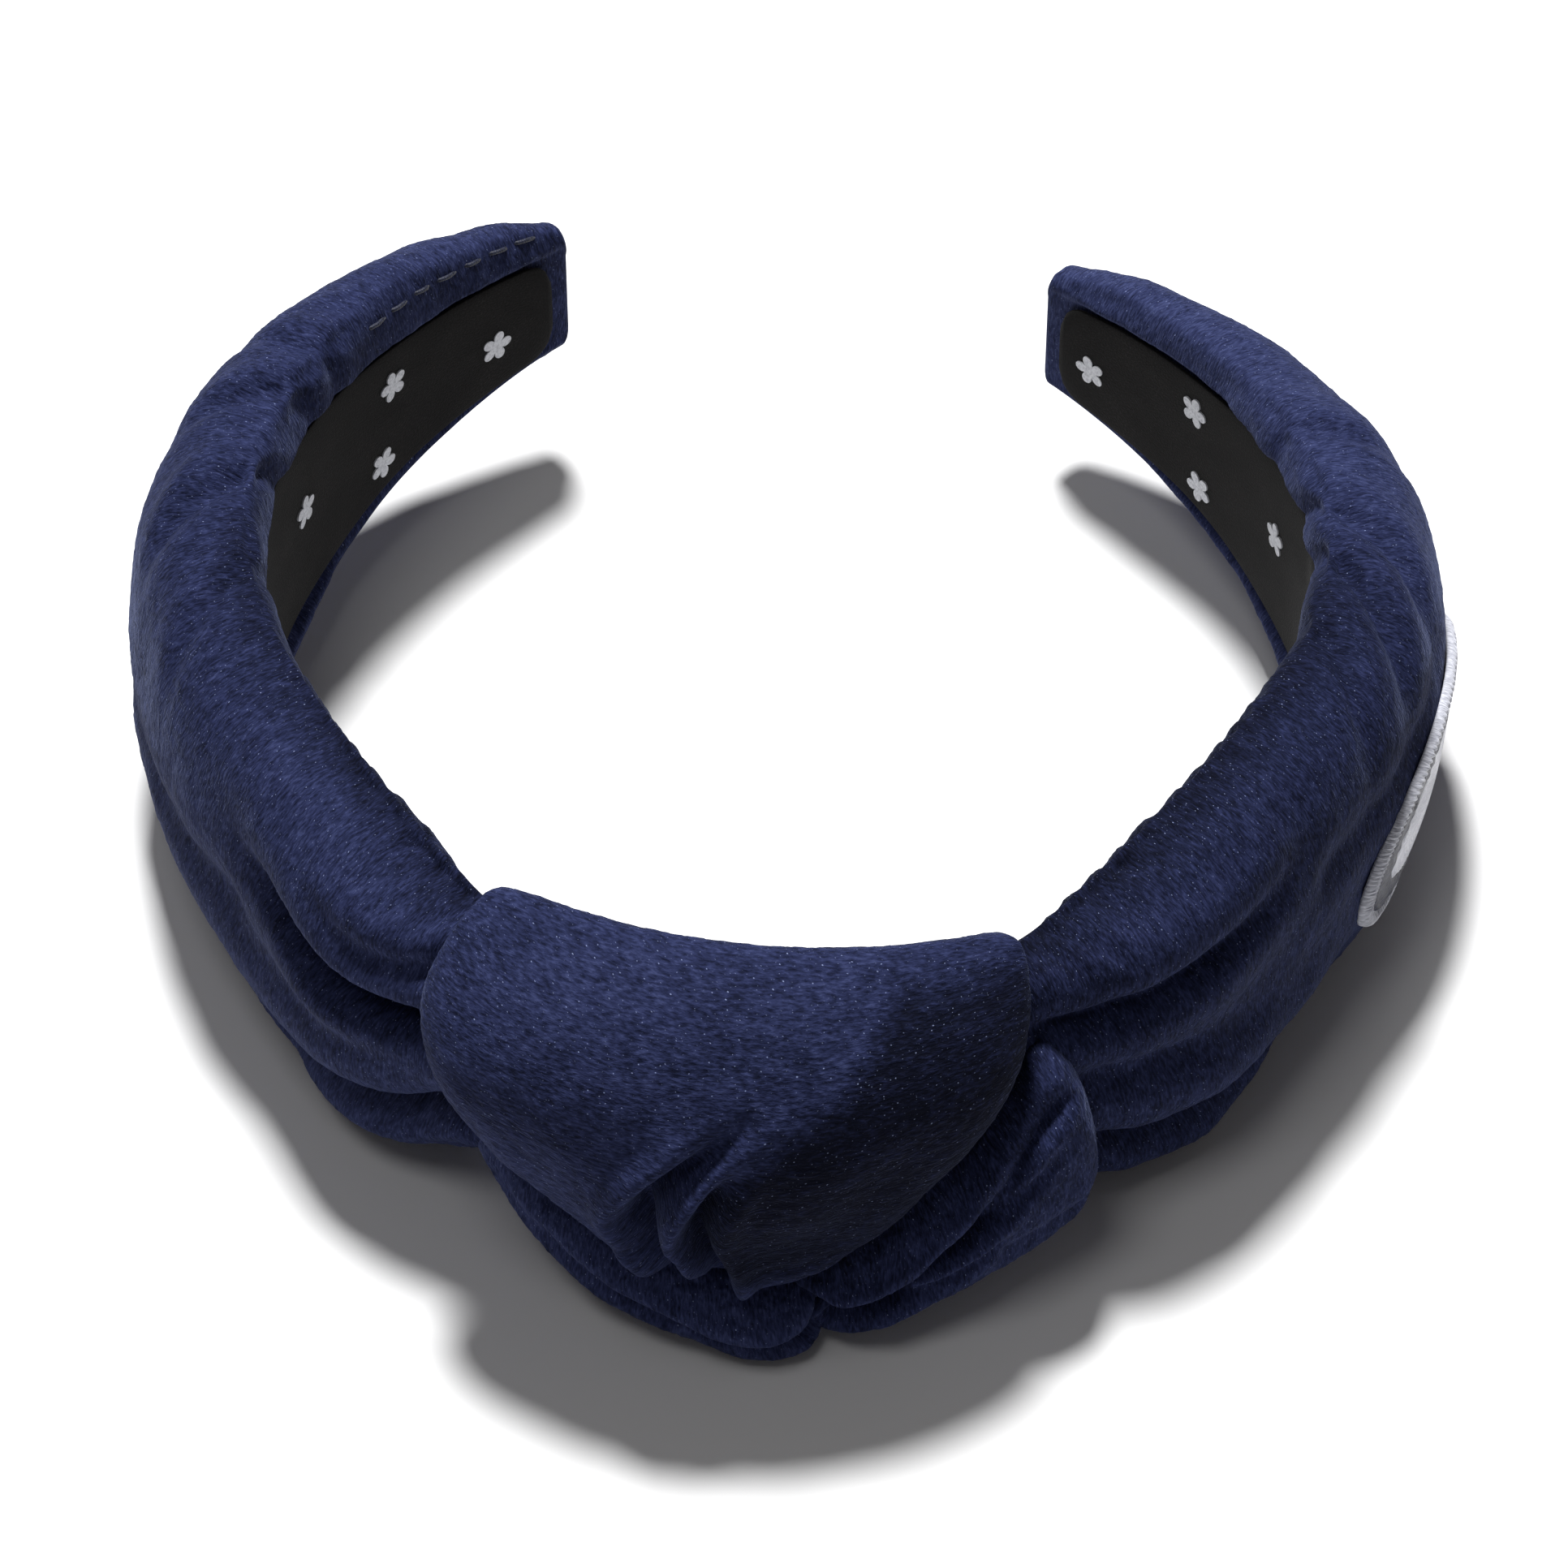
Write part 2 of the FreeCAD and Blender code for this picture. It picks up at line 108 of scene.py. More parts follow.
def hump(x, start, rise_to, fall_from, end):
    """1 between rise_to and fall_from, 0 outside start and end, smooth between."""
    return smooth_step((x - start) / (rise_to - start)) * smooth_step((end - x) / (end - fall_from))


def follow(x, stations, values):
    """A smooth curve through values at stations (Catmull-Rom on uneven steps)."""
    stations = np.asarray(stations, float)
    values = np.asarray(values, float)
    slope = np.gradient(values, stations, axis=0)
    x = np.clip(np.asarray(x, float), stations[0], stations[-1])
    index = np.clip(np.searchsorted(stations, x) - 1, 0, len(stations) - 2)
    step = stations[index + 1] - stations[index]
    t = (x - stations[index]) / step
    if values.ndim > 1:
        t, step = t[..., None], step[..., None]
    a, b = values[index], values[index + 1]
    m, n = slope[index] * step, slope[index + 1] * step
    return ((2 * t**3 - 3 * t**2 + 1) * a + (t**3 - 2 * t**2 + t) * m
            + (3 * t**2 - 2 * t**3) * b + (t**3 - t**2) * n)


def noise(points, size, seed):
    """Smooth lattice noise from -1 to 1, one number per point; size is its grain."""
    scaled = np.asarray(points, float) / size + 57.3 * seed
    cell = np.floor(scaled).astype(np.int64)
    part = scaled - cell
    part = part * part * (3 - 2 * part)
    total = np.zeros(scaled.shape[:-1])
    for corner in range(2 ** scaled.shape[-1]):
        weight = np.ones(scaled.shape[:-1])
        key = np.full(scaled.shape[:-1], 374761393 * (seed + 1), np.int64)
        for axis in range(scaled.shape[-1]):
            bit = corner >> axis & 1
            weight = weight * (part[..., axis] if bit else 1 - part[..., axis])
            key = (key ^ (cell[..., axis] + bit) * (668265263, 2246822519, 3266489917)[axis])
            key = key * 1274126177 & 0x7FFFFFFF
            key = key ^ key >> 13
        total += weight * ((key & 0xFFFF) / 32767.5 - 1)
    return total


def unit(vectors):
    return vectors / np.maximum(np.linalg.norm(vectors, axis=-1, keepdims=True), 1e-9)


def grid_normals(points, closed=True):
    """Normals of a grid of points whose second direction closes on itself."""
    down = np.gradient(points, axis=0)
    if closed:
        over = np.roll(points, -1, 1) - np.roll(points, 1, 1)
    else:
        over = np.gradient(points, axis=1)
    return unit(np.cross(down, over))


# ------------------------------------------------------------------ meshes
def new_object(name, mesh):
    piece = bpy.data.objects.new(name, mesh)
    bpy.context.scene.collection.objects.link(piece)
    return piece


def grid_piece(name, points, material, caps=True, closed=True, flip=False, pile_tone_and_painted_light=None):
    """A mesh from a grid of points (rows, columns, 3), closed around its columns.

    Its UV map holds distances in metres: along the rows, and around the columns. The painted
    light and shade, one value per point with some random tone, lightens or darkens the velvet there.
    """
    rows, columns = points.shape[:2]
    along = np.zeros((rows, columns + 1))
    along[1:, :columns] = np.cumsum(np.linalg.norm(np.diff(points, axis=0), axis=-1), 0)
    along[:, columns] = along[:, 0]
    along[:] = along.mean(1, keepdims=True)
    ring = np.concatenate([points, points[:, :1]], 1)
    around = np.zeros((rows, columns + 1))
    around[:, 1:] = np.cumsum(np.linalg.norm(np.diff(ring, axis=1), axis=-1), 1)
    around = around - around[:, columns // 2:columns // 2 + 1]
    faces, corners = [], []
    last = columns if closed else columns - 1
    for i in range(rows - 1):
        for j in range(last):
            k = (j + 1) % columns
            quad = [i * columns + j, i * columns + k, (i + 1) * columns + k, (i + 1) * columns + j]
            place = [(i, j), (i, j + 1), (i + 1, j + 1), (i + 1, j)]
            if flip:
                quad.reverse()
                place.reverse()
            faces.append(quad)
            corners.extend(place)
    vertices = points.reshape(-1, 3)
    if caps and closed:
        for i, reverse in ((0, not flip), (rows - 1, flip)):
            middle = len(vertices)
            vertices = np.concatenate([vertices, points[i].mean(0, keepdims=True)])
            for j in range(columns):
                k = (j + 1) % columns
                tri = [middle, i * columns + j, i * columns + k]
                place = [(i, j), (i, j), (i, j + 1)]
                if reverse:
                    tri.reverse()
                    place.reverse()
                faces.append(tri)
                corners.extend(place)
    mesh = bpy.data.meshes.new(name)
    mesh.from_pydata((vertices * MM).tolist(), [], faces)
    picked = np.array(corners)
    uv = np.stack([along[picked[:, 0], picked[:, 1]], around[picked[:, 0], picked[:, 1]]], -1)
    layer = mesh.uv_layers.new(name="cloth")
    layer.data.foreach_set("uv", (uv * MM).astype(np.float32).ravel())
    # painted light and shade: one value per point, kept as a point attribute for the velvet's colour
    painted_light_and_tone_value = np.ones(len(vertices)) if pile_tone_and_painted_light is None else np.asarray(pile_tone_and_painted_light, float).ravel()
    painted_light_and_tone_value = np.concatenate([painted_light_and_tone_value, np.ones(len(vertices) - len(painted_light_and_tone_value))])
    mesh.attributes.new("pile_tone_and_painted_light", "FLOAT", "POINT").data.foreach_set("value", painted_light_and_tone_value.astype(np.float32))
    mesh.polygons.foreach_set("use_smooth", [True] * len(mesh.polygons))
    mesh.materials.append(material)
    mesh.update()
    return new_object(name, mesh)


# ------------------------------------------------------------------ materials
class Nodes:
    """Short names for making a node material."""

    def __init__(self, name):
        self.material = bpy.data.materials.new(name)
        self.material.use_nodes = True
        self.tree = self.material.node_tree
        self.shader = self.tree.nodes["Principled BSDF"]

    def add(self, kind, **settings):
        node = self.tree.nodes.new(kind)
        for key, value in settings.items():
            setattr(node, key, value)
        return node

    def link(self, source, target):
        self.tree.links.new(source, target)

    def uv(self, scale, rotate=0.0):
        """The cloth's distances, scaled along and around."""
        source = self.add("ShaderNodeUVMap", uv_map="cloth")
        mapping = self.add("ShaderNodeMapping")
        mapping.inputs["Scale"].default_value = (scale[0], scale[1], 1)
        mapping.inputs["Rotation"].default_value = (0, 0, rotate)
        self.link(source.outputs["UV"], mapping.inputs["Vector"])
        return mapping.outputs["Vector"]

    def noise(self, vector, scale, detail=3.0, rough=0.5):
        node = self.add("ShaderNodeTexNoise")
        node.inputs["Scale"].default_value = scale
        node.inputs["Detail"].default_value = detail
        node.inputs["Roughness"].default_value = rough
        self.link(vector, node.inputs["Vector"])
        return node.outputs["Fac"]

    def math(self, operation, one, two=None):
        node = self.add("ShaderNodeMath", operation=operation)
        for slot, value in zip(node.inputs, (one, two)):
            if value is None:
                continue
            if isinstance(value, (int, float)):
                slot.default_value = value
            else:
                self.link(value, slot)
        return node.outputs[0]

    def ramp(self, factor, stops):
        node = self.add("ShaderNodeValToRGB")
        ramp = node.color_ramp
        while len(ramp.elements) < len(stops):
            ramp.elements.new(0.5)
        for element, (place, colour) in zip(ramp.elements, stops):
            element.position = place
            element.color = (*colour, 1)
        self.link(factor, node.inputs["Fac"])
        return node.outputs["Color"]

    def bump(self, height, strength, distance, normal=None):
        node = self.add("ShaderNodeBump")
        node.inputs["Strength"].default_value = strength
        node.inputs["Distance"].default_value = distance
        self.link(height, node.inputs["Height"])
        if normal is not None:
            self.link(normal, node.inputs["Normal"])
        return node.outputs["Normal"]

    def set(self, **values):
        for key, value in values.items():
            self.shader.inputs[key.replace("_", " ")].default_value = value


def velvet(name="velvet", turn=0.0):
    """Navy pile: short streaks laid along the cloth, sparse painted glints, strong soft sheen."""
    m = Nodes(name)
    streaks = m.noise(m.uv((3300, 780), turn), 1.0, 2.0, 0.6)
    clumps = m.noise(m.uv((620, 240), turn), 1.0, 3.0, 0.6)
    painted_glint_spots = m.noise(m.uv((5200, 3000), turn), 1.0, 0.0, 0.5)
    # painted light and shade: the per-point attribute lightens or darkens the base colour
    painted_light_and_tone_value = m.add("ShaderNodeAttribute", attribute_name="pile_tone_and_painted_light").outputs["Fac"]
    mixed = m.math("ADD", m.math("MULTIPLY", streaks, 0.66), m.math("MULTIPLY", clumps, 0.34))
    mixed = m.math("ADD", mixed, m.math("MULTIPLY", m.math("SUBTRACT", painted_light_and_tone_value, 1.0), 0.22))
    colour = m.ramp(mixed, [(0.24, (0.0028, 0.0036, 0.0105)), (0.39, (0.0080, 0.0105, 0.0310)),
                            (0.53, (0.0190, 0.0245, 0.0700)), (0.72, (0.0450, 0.0560, 0.1380))])
    # painted glints: sparse light specks added to the base colour
    painted_glint_colour = m.ramp(painted_glint_spots, [(0.76, (0, 0, 0)), (0.86, (0.16, 0.19, 0.30))])
    blend = m.add("ShaderNodeMix", data_type="RGBA", blend_type="ADD")
    blend.inputs[0].default_value = 1.0
    m.link(colour, blend.inputs[6])
    m.link(painted_glint_colour, blend.inputs[7])
    m.link(blend.outputs[2], m.shader.inputs["Base Color"])
    fine = m.bump(streaks, 0.6, 0.00035)
    m.link(m.bump(clumps, 0.5, 0.0006, fine), m.shader.inputs["Normal"])
    m.set(Roughness=0.85, Sheen_Weight=0.30, Sheen_Roughness=0.32, Specular_IOR_Level=0.06)
    m.shader.inputs["Sheen Tint"].default_value = (0.17, 0.205, 0.36, 1)
    return m.material


def velour(name="lining_velour"):
    """Matt black lining cloth with a short pile."""
    m = Nodes(name)
    pile_tone_and_painted_light = m.noise(m.uv((3000, 3600)), 1.0, 2.0, 0.6)
    cloud = m.noise(m.uv((120, 160)), 1.0, 2.0, 0.5)
    mixed = m.math("ADD", m.math("MULTIPLY", pile_tone_and_painted_light, 0.7), m.math("MULTIPLY", cloud, 0.3))
    colour = m.ramp(mixed, [(0.3, (0.0035, 0.0033, 0.0033)), (0.55, (0.0085, 0.008, 0.008)),
                            (0.75, (0.024, 0.022, 0.022))])
    m.link(colour, m.shader.inputs["Base Color"])
    m.link(m.bump(pile_tone_and_painted_light, 0.5, 0.0002), m.shader.inputs["Normal"])
    m.set(Roughness=0.95, Sheen_Weight=0.05, Sheen_Roughness=0.5, Specular_IOR_Level=0.08)
    return m.material


def thread(name, dark, light, along=5000.0, around=900.0, sheen=0.3, rough=0.55):
    """Embroidery: fine parallel threads with a soft gloss."""
    m = Nodes(name)
    strands = m.noise(m.uv((along, around)), 1.0, 1.0, 0.5)
    colour = m.ramp(strands, [(0.35, dark), (0.65, light)])
    m.link(colour, m.shader.inputs["Base Color"])
    m.link(m.bump(strands, 0.7, 0.00025), m.shader.inputs["Normal"])
    m.set(Roughness=rough, Sheen_Weight=sheen, Specular_IOR_Level=0.4)
    return m.material


def print_ink(name="print_ink"):
    m = Nodes(name)
    coordinates = m.add("ShaderNodeTexCoord")
    grain = m.noise(coordinates.outputs["Object"], 2500.0, 2.0, 0.6)
    colour = m.ramp(grain, [(0.3, (0.42, 0.43, 0.47)), (0.6, (0.66, 0.67, 0.71))])
    m.link(colour, m.shader.inputs["Base Color"])
    m.link(m.bump(grain, 0.4, 0.00015), m.shader.inputs["Normal"])
    m.set(Roughness=0.7)
    return m.material


def plastic(name="core_plastic"):
    m = Nodes(name)
    coordinates = m.add("ShaderNodeTexCoord")
    grain = m.noise(coordinates.outputs["Object"], 900.0, 4.0, 0.6)
    colour = m.ramp(grain, [(0.3, (0.02, 0.02, 0.021)), (0.7, (0.03, 0.03, 0.031))])
    m.link(colour, m.shader.inputs["Base Color"])
    m.link(m.bump(grain, 0.2, 0.0001), m.shader.inputs["Normal"])
    m.set(Roughness=0.45)
    return m.material


VELVET = velvet("velvet_knot", -0.12)
SLEEVE_VELVET = {-1: velvet("velvet_left", 0.35), 1: velvet("velvet_right", -0.35)}
VELOUR = velour()
INK = print_ink()
WHITE_THREAD = thread("white_embroidery", (0.36, 0.37, 0.43), (0.66, 0.67, 0.74))
NAVY_THREAD = thread("navy_embroidery", (0.003, 0.004, 0.013), (0.016, 0.020, 0.055), sheen=0.02,
                     rough=0.4)
SATIN = thread("satin_embroidery", (0.55, 0.56, 0.64), (0.8, 0.81, 0.88), 700.0, 6000.0, 0.2, 0.3)
HEM_THREAD = thread("hem_thread", (0.003, 0.004, 0.012), (0.012, 0.016, 0.042), sheen=0.05)
for node in ("core_crown", "core_arm_left", "core_arm_right"):
    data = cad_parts[node].data
    data.materials.clear()
    data.materials.append(plastic("plastic_" + node))

# ------------------------------------------------------------------ velvet sleeves
SLEEVE_RUNS = (0, 30, 36, 42, 50, 60, 75, 92, 110, 130, 150, 167, 181)
BULGE = (8.5, 9.4, 10.8, 13.0, 14.6, 15.0, 14.8, 14.4, 14.8, 15.0, 13.0, 9.8, 6.0)  # outwards
LIP = (3.4, 3.6, 4.0, 4.6, 4.8, 5.0, 5.2, 5.0, 4.6, 4.2, 3.8, 3.4, 2.8)           # inwards
ABOVE = {-1: (18, 18, 19.5, 21.5, 23, 24, 24, 24, 24, 23.6, 21.4, 17.2, 11.8),
         1: (18, 18, 19.5, 21.5, 23, 24, 24, 24, 23.5, 22, 18.5, 15, 11)}
BELOW = (18, 19, 22, 24.5, 25.7, 25.8, 25.8, 25.6, 24, 20, 15.5, 12.4, 10)
CORNER = (2.2, 2.3, 2.5, 2.7, 2.8, 2.8, 2.7, 2.6, 2.5, 2.4, 2.3, 2.2, 2.2)        # 2: ellipse
LINING_RUNS = (0, 112, 128, 141, 153, 166, 178.5)
LINING_HALVES = (15.0, 15.0, 14.5, 13.2, 11.4, 9.9, 8.4)
LINING_END = LINING_RUNS[-1]


def lining_half(run):
    """Half of the lining's width at a run."""
    return follow(run, LINING_RUNS, LINING_HALVES)


def sleeve_section(run, side, count):
    """One section of a sleeve as arrays (out, z), evenly spaced, from the head side's middle."""
    bulge, lip, below, corner = (follow(run, SLEEVE_RUNS, v) for v in (BULGE, LIP, BELOW, CORNER))
    above = follow(run, SLEEVE_RUNS, ABOVE[side])
    angle = np.linspace(-math.pi, math.pi, 1441)
    c, s = np.cos(angle), np.sin(angle)
    out = np.where(c > 0, bulge, lip) * np.sign(c) * np.abs(c) ** (2 / corner)
    z = np.where(s > 0, above, below) * np.sign(s) * np.abs(s) ** (2 / corner)
    half = lining_half(run)
    seat = smooth_step((half + 2.0 - np.abs(z)) / 2.2) * (c < 0)
    out = out * (1 - seat) - 1.35 * seat
    length = np.concatenate([[0], np.cumsum(np.hypot(np.diff(out), np.diff(z)))])
    even = np.linspace(0, length[-1], count, endpoint=False)
    return np.interp(even, length, out), np.interp(even, length, z), even


# Folds that run along a sleeve from the knot: runs and heights of the crease, then its deepest
# depth, half width, and the runs where it is deepest and where it has died out.
LONG_FOLDS = {
    -1: (((34, 50, 62, 80), (10, 9, 10, 13), 7.0, 3.0, 46, 72),
         ((34, 40, 52, 64, 88, 112), (-5, -9, -13, -15, -14, -10), 7.5, 3.0, 60, 108),
         ((34, 44, 60), (17, 15.5, 17), 2.4, 1.8, 42, 60),
         ((34, 44, 58), (-19, -21, -23), 2.6, 1.6, 42, 62),
         ((70, 92, 112), (0, -3, -2), 1.0, 3.2, 92, 116)),
    1: (((34, 40, 52, 66, 84), (-9, -11, -13, -15, -15), 7.5, 3.0, 48, 84),
        ((34, 42, 56), (-20, -22, -23.5), 3.0, 1.5, 42, 62),
        ((34, 44, 60, 74), (12, 13, 14.5, 17), 2.6, 2.6, 44, 74),
        ((34, 46, 64), (2, 1, 0), 1.3, 2.8, 42, 66),
        ((72, 92, 110), (10, 9, 11), 0.9, 3.0, 90, 114)),
}
# Creases across a sleeve's upper edge: run at the head side, run at the outer side, depth, width.
CROSS_CREASES = {
    -1: ((118, 104, 1.6, 2.0), (131, 122, 1.4, 1.7), (137, 136, 1.0, 1.6), (99, 88, 0.9, 1.8)),
    1: ((120, 103, 1.5, 2.0), (110, 92, 1.7, 2.2), (132, 126, 1.0, 1.7), (96, 82, 0.9, 2.0)),
}


sleeve_painted_light_and_tone = {}


def sleeve_grid(side, rows=330, columns=260):
    """The sleeve's surface: runs, then out and z of each point, and its finished points."""
    runs = np.linspace(SLEEVE_RUNS[0], HALF_RUN, rows)
    sections = [sleeve_section(run, side, columns) for run in runs]
    out = np.array([s[0] for s in sections])
    z = np.array([s[1] for s in sections])
    arc = np.array([s[2] for s in sections])
    whole = arc[:, -1] + arc[:, 1]
    across = np.stack([np.roll(out, -1, 1) - np.roll(out, 1, 1),
                       np.roll(z, -1, 1) - np.roll(z, 1, 1)], -1)
    across = unit(across)
    normal = np.stack([across[..., 1], -across[..., 0]], -1)
    push = np.zeros(out.shape)
    slip = np.zeros(out.shape)
    run_grid = np.repeat(runs[:, None], columns, 1)

    outer = slice(columns // 4 - 6, columns - columns // 4 + 6)
    for fold_runs, heights, depth, width, deep_to, end in LONG_FOLDS[side]:
        height = follow(runs, fold_runs, heights)
        crease = np.array([np.interp(h, z[i, outer], arc[i, outer]) for i, h in enumerate(height)])
        distance = arc - crease[:, None]
        wander = noise(np.stack([run_grid / 3, arc], -1), 7.0, int(abs(depth) * 10)) * 0.3
        distance = distance + wander
        fade = (smooth_step((end - runs) / (end - deep_to))
                * smooth_step((runs - fold_runs[0] + 8) / 8))
        amount = (depth * fade)[:, None]
        push -= amount * np.exp(-(distance / width) ** 2)
        push += 0.28 * amount * np.exp(-((np.abs(distance) - 2.1 * width) / (1.2 * width)) ** 2)
        slip -= 0.45 * amount * np.exp(-((distance - 1.1 * width) / width) ** 2)

    top = np.exp(-((arc - whole[:, None] * 0.74) / (whole[:, None] * 0.10)) ** 2)
    for head_run, outer_run, depth, width in CROSS_CREASES[side]:
        share = smooth_step((arc / whole[:, None] - 0.62) / 0.24)
        where = outer_run + (head_run - outer_run) * share
        distance = run_grid - where + 0.8 * noise(np.stack([arc, run_grid / 4], -1), 6.0, 11)
        push -= depth * top * np.exp(-(distance / width) ** 2)
        push += 0.5 * depth * top * np.exp(-((distance - 2.4 * width) / (1.6 * width)) ** 2)

    # gathers: fine pleats near the knot and puckers along the upper seam
    spread = np.stack([run_grid / 5.5, arc, np.zeros(arc.shape) + side], -1)
    near_knot = smooth_step((80 - run_grid) / 44)
    push += 0.35 * near_knot * noise(spread, 3.2, 3)
    push += 0.8 * noise(np.stack([run_grid, arc * 0.9, np.zeros(arc.shape)], -1), 17.0, 5 + side)
    push += 0.35 * noise(np.stack([run_grid, arc, np.zeros(arc.shape)], -1), 6.0, 8 + side)
    seam = np.exp(-((arc - whole[:, None] * 0.80) / 3.0) ** 2)
    pucker = np.sin(run_grid * 2 * math.pi / 4.6 + 2.0 * noise(run_grid[..., None] + 0.0, 9.0, 4))
    seam_fade = hump(run_grid, 30, 40, 70, 92)
    push += seam * seam_fade * (0.55 * pucker - 0.7)
    edge = smooth_step((np.abs(out + 1.35)) / 1.2)
    push *= np.where(out < 0, edge, 1.0)
    slip *= np.where(out < 0, 0.0, 1.0)

    out2 = out + normal[..., 0] * push + across[..., 0] * slip
    z2 = z + normal[..., 1] * push + across[..., 1] * slip
    floor_gap = MID_HEIGHT + rise(run_grid, side) + z2
    z2 = np.where(floor_gap < 0.25, z2 + (0.25 - floor_gap) * 0.97, z2)
    points = on_hoop(run_grid, out2, z2, side)
    if side < 0:
        facing = -grid_normals(points)
    else:
        facing = grid_normals(points)
    pile = noise(points, 0.8, 21) * 0.09 + noise(points, 0.45, 22) * 0.06
    points = points + facing * (pile * edge)[..., None]
    # painted shade: a dark band along the upper seam near the knot; the right sleeve gets painted light
    # towards its tip and painted shade nearer the knot; the noise is random tone
    share = arc / whole[:, None]
    rim = np.exp(-((share - 0.80) / 0.055) ** 2)
    pile_tone_and_painted_light = 1.0 - 0.75 * rim * smooth_step((125 - run_grid) / 30)
    if side > 0:
        pile_tone_and_painted_light += 0.25 - 0.5 * smooth_step((118 - run_grid) / 25)
    pile_tone_and_painted_light += 0.22 * noise(np.stack([run_grid / 2.2, arc, 0 * arc], -1), 9.0, 61 + side)
    sleeve_painted_light_and_tone[side] = pile_tone_and_painted_light
    return runs, out, z, points


def rounded_end(points, length=2.6, steps=6):
    """Close a sleeve's far end with a soft rim instead of a sharp edge."""
    middle = points[-1].mean(0)
    ahead = unit(points[-1].mean(0) - points[-6].mean(0))
    extra = []
    for step in range(1, steps + 1):
        angle = step / steps * math.pi / 2
        shrink = 1 - (1 - math.cos(angle)) * 0.45
        reach = ahead * math.sin(angle) * length * 0.5
        extra.append(middle + (points[-1] - middle) * shrink + reach)
    return np.concatenate([points, np.array(extra)], 0)


def longer(values, steps=6):
    """The last row of a grid of values repeated for a rounded end."""
    return np.concatenate([values, np.repeat(values[-1:], steps, 0)], 0)


def blend_points(side):
    """Two points on the hoop's middle at the middle height, 5 mm before and 6 mm after the flex run."""
    place, along, _ = hoop(np.array([FLEX_RUN]), side)
    near = place[0] - along[0] * 5
    far = place[0] + along[0] * 6
    return ((near[0] * MM, near[1] * MM, MID_HEIGHT * MM),
            (far[0] * MM, far[1] * MM, MID_HEIGHT * MM))


WORD = {-1: "left", 1: "right"}
sleeves = {}
for side in (-1, 1):
    runs, out, z, points = sleeve_grid(side)
    sleeves[side] = (runs, out, z, points)
    piece = grid_piece("velvet_sleeve_" + WORD[side], rounded_end(points), SLEEVE_VELVET[side],
                       flip=side < 0, pile_tone_and_painted_light=longer(sleeve_painted_light_and_tone[side]))
    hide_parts("cover_" + WORD[side], "foam_" + WORD[side])
    start, end = blend_points(side)
    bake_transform(piece)

# ------------------------------------------------------------------ lining
LINING_THICK = 0.9


def lining_grid(side, rows=260, columns=34):
    """A flat tube for half of the lining, with rounded corners at the tip."""
    runs = np.linspace(0.0, LINING_END, rows)
    half = lining_half(runs)
    corner = 4.0
    back = np.clip(runs - (LINING_END - corner), 0, corner)
    half = half - (corner - np.sqrt(np.maximum(corner ** 2 - back ** 2, 0)))
    wave = 0.12 * noise(runs[:, None], 12.0, 31)
    half = half + wave
    angle = np.linspace(-math.pi, math.pi, 2 * columns, endpoint=False)
    c, s = np.cos(angle), np.sin(angle)
    flat = np.sign(s) * np.abs(s) ** 0.55
    depth = np.sign(c) * np.abs(c) ** 0.5
    run_grid = np.repeat(runs[:, None], 2 * columns, 1)
    z = half[:, None] * flat[None]
    lift = 0.10 * noise(np.stack([run_grid, z], -1), 11.0, 32)
    out = -LINING_FACE + LINING_THICK / 2 + depth[None] * LINING_THICK / 2 + lift
    return on_hoop(run_grid, out, z, side)


for side in (-1, 1):
    piece = grid_piece("lining_cloth_" + WORD[side], lining_grid(side), VELOUR, flip=side < 0)
    nodes = ["lining_" + WORD[side]] + (["lining_crown"] if side > 0 else [])
    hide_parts(*nodes)
    start, end = blend_points(side)
    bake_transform(piece)

# ------------------------------------------------------------------ knot
def v(*numbers):
    return np.array(numbers, float)


# Every row of a roll is (left edge, right edge, front, back): the edges as (run, out, z) with z
# from the table, then how far its front and its back stand off the line between the edges.
WRAP = [
    (v(-33, -3.2, 41.5), v(31, -3.2, 41.5), v(0, -1.0, 0), v(0, 2, 0)),
    (v(-34.5, -2.8, 46), v(31.5, -2.6, 45), v(0, -1.6, 1.5), v(0, 2.5, -1)),
    (v(-35.4, 0.5, 49.3), v(32, 1.6, 47), v(0, -1.5, 5.6), v(0, 2, -4)),
    (v(-35.6, 6.5, 47.5), v(31, 5.0, 45), v(0, 3.5, 5.6), v(0, -2, -5)),
    (v(-35.6, 11.5, 42.5), v(28.6, 8.4, 40.5), v(0, 8.0, 4.5), v(0, -4, -4)),
    (v(-33.6, 13.6, 37.5), v(24.5, 10.6, 34), v(0, 10.0, 2.8), v(0, -5, -2)),
    (v(-30.6, 14.2, 32.5), v(20, 12.0, 29), v(0, 10.0, 2), v(0, -5, -1)),
    (v(-26.6, 14.6, 28), v(16.4, 13.2, 25), v(0, 9.2, 1), v(0, -5, 0)),
    (v(-21.6, 14.8, 23.6), v(13.6, 14.0, 21.5), v(0, 8.2, 0.5), v(0, -5, 0)),
    (v(-16.6, 15.0, 19.6), v(10.4, 14.8, 18.5), v(0, 7.4, 0), v(0, -5, 1)),
    (v(-12.8, 14.8, 16.6), v(7.4, 15.2, 15.8), v(0, 6.4, -1), v(0, -4, 2)),
    (v(-10.0, 14.2, 14.6), v(4.6, 14.8, 14), v(0, 4.6, -1.6), v(0, -3, 3)),
    (v(-7.0, 12.6, 14), v(1.6, 13.4, 13.6), v(0, 1.6, -2), v(0, -1, 3)),
]
